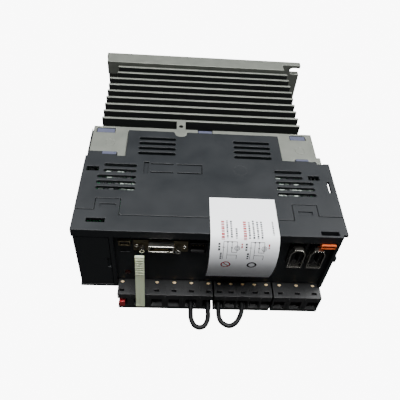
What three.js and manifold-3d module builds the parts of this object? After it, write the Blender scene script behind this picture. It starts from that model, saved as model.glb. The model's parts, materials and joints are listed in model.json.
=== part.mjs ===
// A wall-mounted servo drive, lying on its left side as it is stored.
// X runs along the drive's height, with its lower end at +X; Y runs from its front to the wall
// behind it; Z runs from its left side up to its right side. Millimetres throughout.
import * as THREE from "three";
import { mergeVertices } from "three/addons/utils/BufferGeometryUtils.js";
import Module from "manifold-3d";

// ---- Driving dimensions ---------------------------------------------------------------------
const LENGTH = 168; // over the mounting plate
const DEPTH = 195; // front face to wall
const WIDTH = 90; // side to side
const GAP = 0.35; // left between pieces that touch
const WALL = 2.4; // casing wall
const DEEP = 1; // how far a cutting tool runs past the face it opens

const left = -LENGTH / 2;
const right = LENGTH / 2;
const front = -DEPTH / 2;
const back = DEPTH / 2;
const top = WIDTH;

// Heat sink casting
const PLATE = 5.5; // back plate
const RIM = 8.5; // thick edge of the back plate, in front of it
const RIM_HEIGHT = 12;
const SINK_DEPTH = 102; // wall to the face that carries the power module
const SINK_WALL = 4;
const SINK_FLOOR = 5;
const SINK_DROP = 0.8; // casting below the casing's top
const FIN_PITCH = 8.6;
const FIN_TIP = 2;
const FIN_ROOT = 2.6;
const FIN_DROP = 1.3;
const FIN_START = 18.5; // wall to the middle of the rearmost fin
const PAD = 3; // thickness of the two front pads
const MOUNT_INSET = 6; // mounting holes from the plate's edges
const MOUNT_HOLE = 3; // radius, for an M5 screw
const sinkFront = back - SINK_DEPTH;
const sinkBack = sinkFront + SINK_WALL;
const sinkLeft = left + 1.6;
const sinkRight = right - 7.2;
const sinkTop = top - SINK_DROP;
const finTop = top - FIN_DROP;
const finY = (i) => back - FIN_START - i * FIN_PITCH;
const finCount = Math.floor((finY(0) - sinkBack) / FIN_PITCH);
const bossX = left + 64.4;

// Casing
const COVER_SIDE = 3.2; // front cover short of the flange's edge
const CASE_SIDE = 6; // rear case short of the flange's edge
const SEAM_END = 16.2; // front face to the seam, near each end
const SEAM_MIDDLE = 12.3;
const TONGUE_REACH = 25.5;
const FLANGE_END = 65;
const SILL = 29; // height of the front cover's lower edge
const LIP = 6.6; // band above the connectors
const RECESS = 3.2; // connectors' floor behind the front face
const FLOOR = 2; // thickness of that floor
const DISPLAY_LENGTH = 24.8;
const BAY = 19.5; // front face to the wall that the terminals plug into
const BAY_HEIGHT = 38;
const coverRight = right - COVER_SIDE;
const caseRight = right - CASE_SIDE;
const caseBack = sinkFront - GAP;
const seamEnd = front + SEAM_END;
const seamMiddle = front + SEAM_MIDDLE;
const tongueReach = front + TONGUE_REACH;
const lipZ = top - LIP;
const floorFront = front + RECESS;
const floorBack = floorFront + FLOOR;
const displayRight = left + DISPLAY_LENGTH;
const bay = front + BAY;
const tongues = [
  [left + 12.3, left + 27.4],
  [right - 31.8, right - 16.2],
];

// Terminal plugs
const PLUG_REACH = 8.5; // in front of the front face
const PLUG_LOW = 15;
const PLUG_HIGH = 33;
const PLUG_GAP = 1;
const POWER_PITCH = 11.7;
const CONTROL_PITCH = 8.2;
const NOSE = 7; // how far a plug goes into its header
const NOSE_INSET = 2;
const HEADER_DEPTH = 14;
const HEADER_WALL = 1.6;
const HEADER_ROOM = 0.15; // header to casing wall
const ENTRY_DEPTH = 6; // stripped length that a wire entry takes
const ENTRY_LOW = 18.5;
const ENTRY_HIGH = 27.5;
const plugFront = front - PLUG_REACH;
const plugBack = bay - GAP;
const plugsRight = right - 3.8;
const entryZ = (ENTRY_LOW + ENTRY_HIGH) / 2;
const entryFloor = plugFront + ENTRY_DEPTH;

// Jumper wires
const WIRE = 1.65; // radius over the insulation
const LOOP_REACH = 19.5; // plug's face to the furthest point of a loop
const LOOP_SIDES = 8;

// Boards
const BOARD = 1.6;
const CONTROL_Z = 71;
const controlFront = floorBack + 2.2;
const controlBack = front + 64.5;

// ---- Solid modelling helpers ----------------------------------------------------------------
const wasm = await Module();
wasm.setup();

function solid(geometry) {
  const bare = new THREE.BufferGeometry();
  bare.setAttribute("position", geometry.getAttribute("position"));
  bare.setIndex(geometry.index);
  const merged = mergeVertices(bare, 1e-4);
  const vertProperties = new Float32Array(merged.getAttribute("position").array);
  const triVerts = new Uint32Array(merged.index.array);
  return new wasm.Manifold(new wasm.Mesh({ numProp: 3, vertProperties, triVerts }));
}

const X = new THREE.Vector3(1, 0, 0);
const Y = new THREE.Vector3(0, 1, 0);
const Z = new THREE.Vector3(0, 0, 1);
// An outline's own two axes and its push direction, for each world axis it can be pushed along:
// (y, z) along x, (x, z) along y and (x, y) along z.
const TURN = {
  x: new THREE.Matrix4().makeBasis(Y, Z, X),
  y: new THREE.Matrix4().makeBasis(X, Z, Y.clone().negate()),
  z: new THREE.Matrix4().makeBasis(X, Y, Z),
};

function box(x, y, z) {
  const geometry = new THREE.BoxGeometry(x[1] - x[0], y[1] - y[0], z[1] - z[0]);
  geometry.translate((x[0] + x[1]) / 2, (y[0] + y[1]) / 2, (z[0] + z[1]) / 2);
  return solid(geometry);
}

// An outline pushed along one axis over a [from, to] span.
function prism(outline, axis, span) {
  const shape = outline instanceof THREE.Shape ? outline : polygon(outline);
  const geometry = new THREE.ExtrudeGeometry(shape, {
    depth: span[1] - span[0],
    bevelEnabled: false,
    curveSegments: 4,
  });
  geometry.translate(0, 0, axis === "y" ? -span[1] : span[0]);
  geometry.applyMatrix4(TURN[axis]);
  return solid(geometry);
}

// A round bar along one axis; centre holds its other two coordinates, in X, Y, Z order.
function rod(axis, span, centre, radius, sides = 24) {
  const geometry = new THREE.CylinderGeometry(radius, radius, span[1] - span[0], sides);
  const middle = (span[0] + span[1]) / 2;
  geometry.rotateX(Math.PI / 2);
  geometry.translate(centre[0], centre[1], axis === "y" ? -middle : middle);
  geometry.applyMatrix4(TURN[axis]);
  return solid(geometry);
}

const polygon = (points) => new THREE.Shape(points.map(([u, v]) => new THREE.Vector2(u, v)));

// A slot outline with rounded ends, long in its first axis.
function stadium(u, v) {
  const radius = (v[1] - v[0]) / 2;
  const middle = (v[0] + v[1]) / 2;
  const shape = new THREE.Shape();
  shape.moveTo(u[0] + radius, v[0]);
  shape.absarc(u[1] - radius, middle, radius, -Math.PI / 2, Math.PI / 2);
  shape.absarc(u[0] + radius, middle, radius, Math.PI / 2, Math.PI * 1.5);
  return shape;
}

const join = (first, ...rest) => rest.reduce((sum, next) => sum.add(next), first);
const cut = (first, ...tools) => tools.reduce((sum, tool) => sum.subtract(tool), first);
const grow = (span, by) => [span[0] - by, span[1] + by];
const around = (middle, half) => [middle - half, middle + half];

const drive = new THREE.Group();
drive.name = "servo_drive";

function piece(name, body, colour, roughness, metalness = 0) {
  const made = body.getMesh();
  const geometry = new THREE.BufferGeometry();
  geometry.setAttribute("position", new THREE.BufferAttribute(made.vertProperties, 3));
  geometry.setIndex(new THREE.BufferAttribute(made.triVerts, 1));
  const material = new THREE.MeshStandardMaterial({ color: colour, roughness, metalness });
  const mesh = new THREE.Mesh(geometry, material);
  mesh.name = name;
  drive.add(mesh);
}

const CHARCOAL = 0x3a3d41;
const BLACK = 0x17181a;
const CASTING = 0xa9ada5;
const STEEL = 0xc9c7bd;
const BOARD_GREEN = 0x1e5a3c;

// ---- Heat sink: one casting with its fins, mounting plate and front pads ---------------------
const padLow = sinkTop - PAD;
const FOOT = 4; // lug that steps down at the left pad's corner
const leftPad = [
  [sinkLeft, sinkFront + DEEP],
  [sinkLeft, sinkFront - 23.4],
  [left + 21, sinkFront - 23.4],
  [left + 21, sinkFront - 23.4 - FOOT],
  [left + 26.5, sinkFront - 23.4 - FOOT],
  [left + 26.5, sinkFront + DEEP],
];
const hookNotch = [right - 23.3, right - 13.7];
const rightPad = [
  [right - 32.5, sinkFront + DEEP],
  [right - 32.5, sinkFront - 26],
  [hookNotch[0], sinkFront - 26],
  [hookNotch[0], sinkFront - 23.7],
  [hookNotch[1], sinkFront - 23.7],
  [hookNotch[1], sinkFront - 26],
  [sinkRight, sinkFront - 26],
  [sinkRight, sinkFront + DEEP],
];
const padSlots = [
  [left + 4, left + 17.2],
  [right - 23.8, right - 12],
];
const slotY = [sinkFront - 3, sinkFront + 2.3];
const slotLow = sinkTop - 4.7;
const clipNotch = [left + 76.6, left + 87.4];
const padTab = [sinkRight - DEEP, sinkRight + 2.5];
const padTabY = [sinkFront - 28.4, sinkFront - 21];

function fin(i) {
  const y = finY(i);
  const start = i < 2 ? left + 11 : left + 5.6; // the two rearmost clear the mounting screw
  const section = [
    [y - FIN_ROOT / 2, SINK_FLOOR - DEEP],
    [y + FIN_ROOT / 2, SINK_FLOOR - DEEP],
    [y + FIN_TIP / 2, finTop],
    [y - FIN_TIP / 2, finTop],
  ];
  return prism(section, "x", [start, right - 13.4]);
}

// A round hole at the upper end and two open slots at the lower end, as keyed to the wall.
const plateSpan = [back - PLATE - DEEP, back + DEEP];
const mountX = [left + MOUNT_INSET, right - MOUNT_INSET];
const openSlot = (z) =>
  join(
    rod("y", plateSpan, [mountX[1], z], MOUNT_HOLE),
    box([mountX[1], right + DEEP], plateSpan, around(z, MOUNT_HOLE)),
  );
const headRoom = [back - PLATE - 11, back - PLATE];

const FAN = 40; // square fan frame
const FAN_THICK = 11;
const fanX = [right - 12.6, right - 12.6 + FAN_THICK];
const fanY = back - 51.5;
const fanLow = SINK_FLOOR + 1;
const fanZ = fanLow + FAN / 2;
const EAR = 6;
const earthX = right - 4.6;
const earthY = [sinkFront + 9.5, sinkFront + 20];
const SCREW = 1.6; // shank radius of the small screws
const ears = [fanY - FAN / 2 - EAR / 2, fanY + FAN / 2 + EAR / 2];
const earX = (fanX[0] + fanX[1]) / 2;
const moduleX = [left + 50, right - 48];
const moduleZ = [18, top - 28];
const moduleHoles = [moduleX[0] + 5, moduleX[1] - 5];
const moduleScrewZ = (moduleZ[0] + moduleZ[1]) / 2;
const blindHole = (z) => [z - 4, z + DEEP];

const heatSink = cut(
  join(
    box([left, right], [back - PLATE, back], [0, top]),
    box([left + 1, right - 16], [back - PLATE - RIM, back - DEEP], [top - RIM_HEIGHT, top]),
    box([sinkLeft, sinkRight], [sinkFront, back - DEEP], [0, SINK_FLOOR]),
    box([sinkRight - DEEP, right - 1.6], [sinkFront, fanY + FAN / 2 + EAR + DEEP], [0, SINK_FLOOR]),
    box([sinkLeft, sinkRight], [sinkFront, sinkBack], [0, sinkTop]),
    ...Array.from({ length: finCount }, (_, i) => fin(i)),
    prism(leftPad, "z", [padLow, sinkTop]),
    prism(rightPad, "z", [padLow, sinkTop]),
    box(padTab, padTabY, [padLow, sinkTop]),
    box(around(bossX, 3.3), [sinkBack - DEEP, finY(finCount - 1)], [sinkTop - 5, sinkTop]),
    rod("z", [sinkTop - 5, sinkTop], [bossX, sinkFront - 0.7], 4.4),
  ),
  rod("z", [sinkTop - 8, top], [bossX, sinkBack + 3.4], SCREW),
  ...padSlots.map((x) => box(x, slotY, [slotLow, top])),
  box(clipNotch, [sinkFront - DEEP, sinkBack + DEEP], [sinkTop - 3.4, top]),
  rod("y", plateSpan, [mountX[0], MOUNT_INSET], MOUNT_HOLE),
  openSlot(MOUNT_INSET),
  openSlot(top - MOUNT_INSET),
  ...mountX.map((x) => box(around(x, 7), headRoom, [-DEEP, SINK_FLOOR + DEEP])),
  ...ears.map((y) => rod("z", blindHole(SINK_FLOOR), [earX, y], SCREW + GAP, 12)),
  ...earthY.map((y) => rod("z", blindHole(SINK_FLOOR), [earthX, y], SCREW + GAP, 12)),
  ...moduleHoles.map((x) =>
    rod("y", [sinkFront - DEEP, sinkBack - DEEP], [x, moduleScrewZ], SCREW + GAP, 12),
  ),
);
piece("heat_sink", heatSink, CASTING, 0.45, 0.8);

// ---- Rear case --------------------------------------------------------------------------------
const vents = [
  { x: [left + 13.7, left + 35.5], y: front + 55.9, count: 2 },
  { x: [left + 10.4, left + 35.7], y: front + 45.1, count: 3 },
  { x: [left + 35, left + 61], y: front + 84.1, count: 4 },
  { x: [right - 40, right - 21], y: front + 55.1, count: 2 },
  { x: [right - 40, right - 14.3], y: front + 44.8, count: 3 },
  { x: [right - 66.4, right - 40], y: front + 83.7, count: 4 },
];
const VENT = 2.7;
const VENT_PITCH = 5.15;
const throughTop = [top - WALL - DEEP, top + DEEP];

const topVents = vents.flatMap(({ x, y, count }) =>
  Array.from({ length: count }, (_, i) =>
    prism(stadium(x, around(y - i * VENT_PITCH, VENT / 2)), "z", throughTop),
  ),
);

const END_VENTS = 7;
const endVents = Array.from({ length: END_VENTS }, (_, i) => {
  const z = BAY_HEIGHT + 5 + (i * (top - BAY_HEIGHT - 16)) / (END_VENTS - 1);
  const y = [front + 38, caseBack - 14];
  return box([left - DEEP, right + DEEP], y, around(z, VENT / 2));
});

// A spring latch outlined by a groove, which stops at two short webs.
const latchX = [left + 44.5, left + 78.8];
const latchY = [front + 50.5, front + 58.5];
const GROOVE = 0.8;
const grooveZ = [top - 1.2, top + DEEP];
const webX = left + 61;
const latch = [
  ...latchY.flatMap((y) => [
    box([latchX[0], webX - 1.2], around(y, GROOVE / 2), grooveZ),
    box([webX + 1.2, latchX[1]], around(y, GROOVE / 2), grooveZ),
  ]),
  box(around(latchX[1], GROOVE / 2), grow(latchY, GROOVE / 2), grooveZ),
  box([latchX[0] - 4.6, latchX[0] - 1.2], grow(latchY, 1.6), grooveZ),
];

// A nose ends short of the last pole's clamp, and of the casing wall beside its header.
const noseEnd = coverRight - WALL - HEADER_WALL - GAP - HEADER_ROOM;
const nose = ({ x, poles }) => [
  x[0] + NOSE_INSET,
  Math.min(x[1] - NOSE_INSET, poles.at(-1) + 1, noseEnd),
];
const headerSpan = (plug) => grow(nose(plug), HEADER_WALL + GAP);
const headerZ = [PLUG_LOW + 0.2, PLUG_HIGH - 0.2];

// Plugs are placed one against the next, back from the lower end.
function plugRow(specs) {
  let end = plugsRight;
  return specs.map((spec) => {
    const width = (spec.count - 1) * spec.pitch + spec.margins[0] + spec.margins[1];
    const x = [end - width, end];
    end = x[0] - PLUG_GAP;
    const poles = Array.from({ length: spec.count }, (_, i) => x[0] + spec.margins[0] + i * spec.pitch);
    return { ...spec, x, poles };
  });
}
const [motor, regen, supply] = plugRow([
  { name: "motor", count: 3, pitch: POWER_PITCH, margins: [4.9, 4.9] },
  { name: "regen", count: 5, pitch: CONTROL_PITCH, margins: [3.45, 3.45] },
  { name: "supply", count: 6, pitch: POWER_PITCH, margins: [2.8, 2.8] },
]);
const plugs = [supply, regen, motor];

const boss = rod("z", [sinkTop - 5 - GAP, top + DEEP], [bossX, sinkFront - 0.7], 4.4 + GAP);
// A pad's room in the casing: its outline, grown by the gap on every side.
function padRoom(outline) {
  const room = prism(outline, "z", [padLow - GAP, top + DEEP]);
  const shifts = [-GAP, GAP].flatMap((x) => [-GAP, GAP].map((y) => room.translate([x, y, 0])));
  return join(...shifts);
}
const tongueRoom = (x) => box(grow(x, GAP), [front, tongueReach + GAP], throughTop);
const hooks = padSlots.flatMap((x, i) => {
  const stem = [sinkFront - 2.7, sinkFront - GAP];
  const reach = i === 0 ? [left + DEEP, x[1] - GAP] : [x[0] + GAP, caseRight - DEEP];
  return [
    box(reach, stem, [slotLow - 5, slotLow - GAP]),
    box(grow(x, -GAP), stem, [slotLow - DEEP, sinkTop - 0.6]),
    box(grow(x, -GAP), [stem[1] - DEEP, slotY[1] - GAP], [slotLow + GAP, sinkTop - 0.6]),
  ];
});

const rearCase = cut(
  join(
    cut(
      join(
        box([left, caseRight], [seamEnd + GAP, caseBack], [0, top]),
        box([left, coverRight], [bay, caseBack], [0, BAY_HEIGHT]),
      ),
      box([left + WALL, caseRight - WALL], [front, back], [WALL, top - WALL]),
      box([left + WALL, coverRight - WALL], [front, back], [WALL, BAY_HEIGHT - WALL]),
      box([left - DEEP, right], [front, bay], [-DEEP, SILL - GAP]),
      box([caseRight - WALL - DEEP, right], [front, bay], [-DEEP, PLUG_HIGH + GAP]),
      padRoom(leftPad),
      padRoom(rightPad),
      boss,
    ),
    box([left + DEEP, coverRight - DEEP], [bay, bay + WALL], [DEEP, BAY_HEIGHT - DEEP]),
    box([left + WALL, caseRight - WALL], [seamMiddle + GAP, seamEnd + WALL], [top - WALL, top]),
    box([caseRight - DEEP, right], [seamEnd + GAP, front + FLANGE_END], [top - WALL, top]),
    box(grow(clipNotch, -GAP), [caseBack - WALL, sinkBack - 0.8], [sinkTop - 3, sinkTop - 0.2]),
    ...hooks,
  ),
  ...tongues.map(tongueRoom),
  box([left, tongues[0][0]], [front, seamEnd + GAP], throughTop),
  box([tongues[1][1], right + DEEP], [front, seamEnd + GAP], throughTop),
  box(grow(padTab, GAP), grow(padTabY, GAP), [padLow - GAP, top + DEEP]),
  box([left - DEEP, left + 1], [front + 64.5, back], [BAY_HEIGHT + 2, top + DEEP]),
  box([sinkRight, right], [sinkFront - 21, back], [padLow - GAP, top + DEEP]),
  ...topVents,
  ...endVents,
  ...latch,
  ...plugs.map((plug) => box(grow(headerSpan(plug), GAP), grow([bay, bay + WALL], DEEP), grow(headerZ, GAP))),
  box([left + 2.6, left + 10.6], [front + 50, front + 54], throughTop),
  box([right - 17.2, right - 9.6], [front + 48.4, front + 52.4], throughTop),
  box([caseRight + 1.1, caseRight + 2.4], [front + 37.5, front + 47.5], throughTop),
);
piece("rear_case", rearCase, CHARCOAL, 0.55);

// ---- Front cover ------------------------------------------------------------------------------
const hingeX = left + 1.9;
const hingeY = front + 1.7;
const BARREL = 1.5;
const PIN = 0.7;
const panelFront = front + 4.4;
const displayZ = [SILL + WALL + GAP, lipZ - GAP];
const skirt = PLUG_HIGH + 1; // the cover's edge over the plugs
const panelBack = panelFront + FLOOR;

// What shows through the cover: [x span, z span] of each hole.
const usb = { x: [left + 27.6, left + 35], z: [74, 78.4] };
const mdr = { x: [left + 46.6, left + 61.4], z: [73.4, 78.4] };
const safety = { x: [left + 71.4, left + 82.2], z: [68.6, 78.4] };
const optical = [
  { x: [left + 87.5, left + 99.5], z: [66, 78.4] },
  { x: [left + 104, left + 116], z: [66, 78.4] },
];
const encoders = [
  { x: [right - 33.2, right - 23.8], z: [59.6, 78] },
  { x: [right - 20.6, right - 11.2], z: [59.6, 78] },
];
const battery = { x: [right - 15.4, right - 6.2], z: [79.2, lipZ - 0.5] };
const digits = { x: [left + 5, displayRight - WALL - 0.4], z: [60, 74] };
const rotary = { x: left + 13.5, z: 51, half: 5.4 };
const dip = { x: [left + 7, left + 20], z: [36.5, 41.5] };
const LAMP = 1.8;
const lamp = { x: left + 32, z: 42 };
const window = ({ x, z }, y) => box(grow(x, GAP), grow(y, DEEP), grow(z, GAP));
const floorSpan = [floorFront, floorBack];
const panelSpan = [panelFront, panelBack];

const frontCover = cut(
  join(
    box([left, coverRight], [front, seamMiddle], [top - WALL, top]),
    box([left, tongues[0][0]], [front, seamEnd], [top - WALL, top]),
    box([tongues[1][1], coverRight], [front, seamEnd], [top - WALL, top]),
    ...tongues.map((x) => box(x, [seamMiddle - DEEP, tongueReach], [top - WALL, top])),
    box([coverRight - DEEP, right], [front + 2, seamEnd], [top - WALL, top]),
    box([left, left + WALL], [front, seamEnd], [SILL, top]),
    box([coverRight - WALL, coverRight], [front, seamEnd], [PLUG_HIGH + 0.6, top]),
    box([coverRight - DEEP, coverRight + 1.6], [front + 0.4, front + 2.6], [63.5, 68]),
    box([left, coverRight], [front, floorBack], [lipZ, top]),
    box([left, displayRight], [front, seamEnd], [SILL, SILL + WALL]),
    box([displayRight - WALL, coverRight - DEEP], [floorBack - DEEP, seamEnd], [skirt, skirt + WALL]),
    box([displayRight - DEEP, coverRight - DEEP], floorSpan, [skirt, lipZ + DEEP]),
    box([displayRight - WALL, displayRight], [front, seamEnd], [SILL, skirt + WALL]),
    box([displayRight - WALL, displayRight], [front, panelBack], [SILL, lipZ + DEEP]),
    box([left + DEEP, displayRight - DEEP], panelSpan, [SILL + DEEP, top - DEEP]),
  ),
  box([left - DEEP, left + 4.4], [front - DEEP, hingeY + BARREL + GAP], grow(displayZ, GAP)),
  box([left, displayRight - WALL], [seamMiddle - 2, seamEnd + DEEP], [SILL + WALL, SILL + 20]),
  rod("z", [SILL + 1.2, top - 1.6], [hingeX, hingeY], PIN + 0.15, 16),
  box([left + 8.4, left + 19.7], [front + 6.5, front + 9.5], throughTop),
  box([right - 17, right - 5.7], [front + 1.5, front + 4.5], [top - 4, top + DEEP]),
  box([left + 15.1, left + 25.2], [front + 18.9, front + 21.4], [top - 0.8, top + DEEP]),
  box([right - 28.9, right - 19.6], [front + 17.8, front + 20.2], [top - 0.8, top + DEEP]),
  ...[usb, mdr, safety, battery, ...optical, ...encoders].map((hole) => window(hole, floorSpan)),
  box([usb.x[0] + 0.5, usb.x[1] - 0.5], [floorFront - DEEP, floorFront + 0.6], [65, 72.5]),
  window(digits, panelSpan),
  window(dip, panelSpan),
  window({ x: around(rotary.x, rotary.half), z: around(rotary.z, rotary.half) }, panelSpan),
  rod("y", grow(floorSpan, DEEP), [lamp.x, lamp.z], LAMP + GAP, 16),
);
piece("front_cover", frontCover, CHARCOAL, 0.55);

// ---- Display cover on its hinge pin, and what it hides -----------------------------------------
const displayCover = cut(
  join(
    box([hingeX, displayRight - WALL - GAP], [front + 0.2, front + 2.2], displayZ),
    rod("z", displayZ, [hingeX, hingeY], BARREL, 20),
  ),
  rod("z", grow(displayZ, DEEP), [hingeX, hingeY], PIN + 0.05, 16),
  box([displayRight - WALL - GAP - 2, displayRight], [front, front + 1.2], [52, 62]),
);
piece("display_cover", displayCover, CHARCOAL, 0.5);
piece("hinge_pin", rod("z", [SILL + 1.5, top - 2], [hingeX, hingeY], PIN, 16), STEEL, 0.3, 0.9);

const digitFace = front + 3.2;
const digitPits = [0, 1, 2].map((i) => {
  const pitch = (digits.x[1] - digits.x[0]) / 3;
  const x = around(digits.x[0] + (i + 0.5) * pitch, pitch / 2 - 0.7);
  return box(x, [digitFace - DEEP, digitFace + 0.4], grow(digits.z, -2));
});
piece(
  "digit_display",
  cut(box(digits.x, [digitFace, panelBack + 0.3], digits.z), ...digitPits),
  0x2b1a1a,
  0.25,
);

const DIAL = 3.4;
const rotaryFace = front + 3.6;
const rotarySpan = around(rotary.x, rotary.half);
const rotaryBody = cut(
  box(rotarySpan, [rotaryFace, panelBack + 0.3], around(rotary.z, rotary.half)),
  rod("y", [rotaryFace - DEEP, rotaryFace + 1.8], [rotary.x, rotary.z], DIAL + 0.2, 32),
);
const dial = cut(
  rod("y", [rotaryFace - 0.4, rotaryFace + 1.6], [rotary.x, rotary.z], DIAL, 32),
  box(around(rotary.x, 0.5), [rotaryFace - DEEP, rotaryFace + 0.4], [rotary.z - 2.2, rotary.z + DIAL]),
);
piece("axis_switch_body", rotaryBody, BLACK, 0.5);
piece("axis_switch_dial", dial, 0xe4e2d8, 0.5);

const SLIDERS = 4;
const dipFace = front + 3.9;
const dipPitch = (dip.x[1] - dip.x[0]) / SLIDERS;
const dipX = (i) => dip.x[0] + (i + 0.5) * dipPitch;
const wellZ = grow(dip.z, -0.8);
const WELL_DEPTH = 1.4;
const dipBody = cut(
  box(dip.x, [dipFace, panelBack + 0.3], dip.z),
  ...Array.from({ length: SLIDERS }, (_, i) =>
    box(around(dipX(i), 0.95), [dipFace - DEEP, dipFace + WELL_DEPTH], wellZ),
  ),
);
piece("setting_switch_body", dipBody, 0xa32626, 0.45);
for (let i = 0; i < SLIDERS; i++) {
  const slider = box(
    around(dipX(i), 0.8),
    [dipFace - 0.5, dipFace + WELL_DEPTH - 0.15],
    [wellZ[0] + 0.15, wellZ[0] + 1.6],
  );
  piece(`setting_slider_${i + 1}`, slider, 0xf2f1ea, 0.45);
}

const lampLens = join(
  rod("y", [floorFront - 0.6, floorBack + 0.5], [lamp.x, lamp.z], LAMP, 16),
  rod("y", [floorBack + 0.35, floorBack + 1.6], [lamp.x, lamp.z], LAMP + 0.8, 16),
);
piece("charge_lamp", lampLens, 0xc8502a, 0.25);

// ---- Signal connectors ------------------------------------------------------------------------
const usbSocket = cut(
  box(usb.x, [floorFront - 2.2, controlFront + 6], usb.z),
  box(grow(usb.x, -0.6), [floorFront - 3.2, floorFront + 4], grow(usb.z, -0.6)),
);
piece("usb_socket", usbSocket, STEEL, 0.3, 0.9);

const FLANGE_FACE = 0.8;
const flangeSpan = [floorFront - GAP - FLANGE_FACE, floorFront - GAP];
const flangeX = [mdr.x[0] - 10, mdr.x[1] + 9.2];
const shellFront = floorFront - 5.8;
const posts = [mdr.x[0] - 4.3, mdr.x[1] + 3];
const postZ = (mdr.z[0] + mdr.z[1]) / 2 - 2.2;
const mdrShell = cut(
  join(box(flangeX, flangeSpan, [68.4, 79]), box(mdr.x, [shellFront, flangeSpan[1]], mdr.z)),
  box(grow(mdr.x, -0.6), [shellFront - DEEP, floorBack], grow(mdr.z, -0.6)),
);
piece("motion_socket_shell", mdrShell, 0xcfc39c, 0.28, 0.9);
const contactRow = cut(
  box(grow(mdr.x, -0.6 - GAP), [shellFront + 1.4, controlFront + 6], grow(mdr.z, -0.6 - GAP)),
  box(grow(mdr.x, -2.2), [shellFront, shellFront + 4.4], around((mdr.z[0] + mdr.z[1]) / 2, 0.6)),
);
piece("motion_socket_contacts", contactRow, BLACK, 0.5);
posts.forEach((x, i) => {
  const post = cut(
    rod("y", [shellFront, flangeSpan[0] - GAP], [x, postZ], 1.9, 6),
    rod("y", [shellFront - DEEP, shellFront + 3], [x, postZ], 0.9, 12),
  );
  piece(`jack_post_${i + 1}`, post, 0xd8cfae, 0.25, 0.95);
});

const socketFront = floorFront - 2.2;
const socketBack = floorBack + 0.4;
const SOCKET_WALL = 1;
const SOCKET_MOUTH = 3.2; // depth of an open socket
const openSocket = ({ x, z }) =>
  cut(
    box(x, [socketFront, socketBack], z),
    box(grow(x, -SOCKET_WALL), [socketFront - DEEP, socketFront + SOCKET_MOUTH], grow(z, -SOCKET_WALL)),
  );
piece("safety_socket", openSocket(safety), BLACK, 0.45);
optical.forEach((hole, i) => {
  const middle = (hole.x[0] + hole.x[1]) / 2;
  const key = box(around(middle, 2.6), [socketFront + 1.4, socketBack], [hole.z[0] + 2, hole.z[1] - 4]);
  piece(`optical_socket_${i + 1}`, join(openSocket(hole), key), 0x24262a, 0.4);
});

// A socket outline with both upper corners cut off.
function house({ x, z }, inset) {
  const [x0, x1] = grow(x, -inset);
  const [z0, z1] = grow(z, -inset);
  const corner = 4 - inset / 2;
  return [
    [x0, z0],
    [x1, z0],
    [x1, z1 - corner],
    [x1 - 1.9, z1],
    [x0 + 1.9, z1],
    [x0, z1 - corner],
  ];
}
const SHELL = 0.5;
const encoderFront = floorFront - 5.2;
encoders.forEach((hole, i) => {
  const shell = cut(
    prism(house(hole, 0), "y", [encoderFront, socketBack]),
    prism(house(hole, SHELL), "y", [encoderFront - DEEP, socketBack + DEEP]),
  );
  const insert = cut(
    prism(house(hole, SHELL + GAP), "y", [encoderFront + 1.4, socketBack]),
    box(around((hole.x[0] + hole.x[1]) / 2, 1.2), [encoderFront, encoderFront + 5], grow(hole.z, -4.6)),
  );
  piece(`encoder_socket_${i + 1}_shell`, shell, STEEL, 0.25, 0.95);
  piece(`encoder_socket_${i + 1}_insert`, insert, BLACK, 0.5);
});

const batterySocket = cut(
  box(battery.x, [floorFront - 4.4, socketBack], battery.z),
  box(grow(battery.x, -0.9), [floorFront - 5.4, floorFront - 1], [battery.z[0] + 0.8, battery.z[1] - 0.8]),
);
piece("battery_socket", batterySocket, 0xe0541c, 0.4);

// ---- Terminal plugs and the headers they push into ---------------------------------------------
const noseZ = [PLUG_LOW + 2, PLUG_HIGH - 2];
const SLOT_BEHIND = 3.6; // release slots behind the plug's face
const PROBE_BEHIND = 10;
function plugBody(plug) {
  const entry = Math.min(3.7, plug.pitch / 2 - 0.8);
  return cut(
    join(
      box(plug.x, [plugFront, plugBack], [PLUG_LOW, PLUG_HIGH]),
      box(nose(plug), [plugBack - DEEP, bay + NOSE], noseZ),
    ),
    ...plug.poles.flatMap((x) => [
      box(around(x, entry), [plugFront - DEEP, entryFloor], [ENTRY_LOW, ENTRY_HIGH]),
      box(around(x, 1.7), around(plugFront + SLOT_BEHIND, 0.8), [PLUG_HIGH - 3, PLUG_HIGH + DEEP]),
      rod("z", [PLUG_HIGH - 2, PLUG_HIGH + DEEP], [x, plugFront + PROBE_BEHIND], 0.9, 8),
    ]),
  );
}
const header = (plug) =>
  cut(
    box(headerSpan(plug), [bay + 0.2, bay + HEADER_DEPTH], headerZ),
    box(grow(nose(plug), GAP), [bay - DEEP, bay + NOSE + GAP], grow(noseZ, GAP)),
  );
for (const plug of plugs) {
  piece(`${plug.name}_plug`, plugBody(plug), BLACK, 0.5);
  piece(`${plug.name}_header`, header(plug), BLACK, 0.5);
}

// Red cap that closes the unused first pole.
const capX = around(supply.poles[0], 1.9);
const cap = box(capX, [plugFront - 0.8, entryFloor - GAP], [ENTRY_LOW + GAP, ENTRY_LOW + 6]);
piece("pole_cap", cap, 0xb3202a, 0.45);

// Release lever: hooked into the second pole, it stands up the front of the drive.
const LEVER_WIDTH = 5.8;
const LEVER = 1.9;
const LEVER_TOP = 71;
const LEVER_SHIFT = 1.1; // lever's middle past the pole it hooks into
const hookZ = entryZ + 2;
const leverX = around(supply.poles[1] + LEVER_SHIFT, LEVER_WIDTH / 2);
const leverFoot = [plugFront - 2.9, hookZ - 1];
const leverTip = [plugFront + 4.2, LEVER_TOP];
const leverOutline = [
  [leverFoot[0] - LEVER / 2, leverFoot[1]],
  [leverFoot[0] + LEVER / 2, leverFoot[1]],
  [leverTip[0] + LEVER / 2, leverTip[1]],
  [leverTip[0] - LEVER / 2, leverTip[1]],
];
const leverHook = box(
  around(supply.poles[1], 2),
  [leverFoot[0] - LEVER / 2, entryFloor - DEEP],
  around(hookZ, 0.9),
);
piece("release_lever", join(prism(leverOutline, "x", leverX), leverHook), 0xcfd6b0, 0.5);

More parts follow.
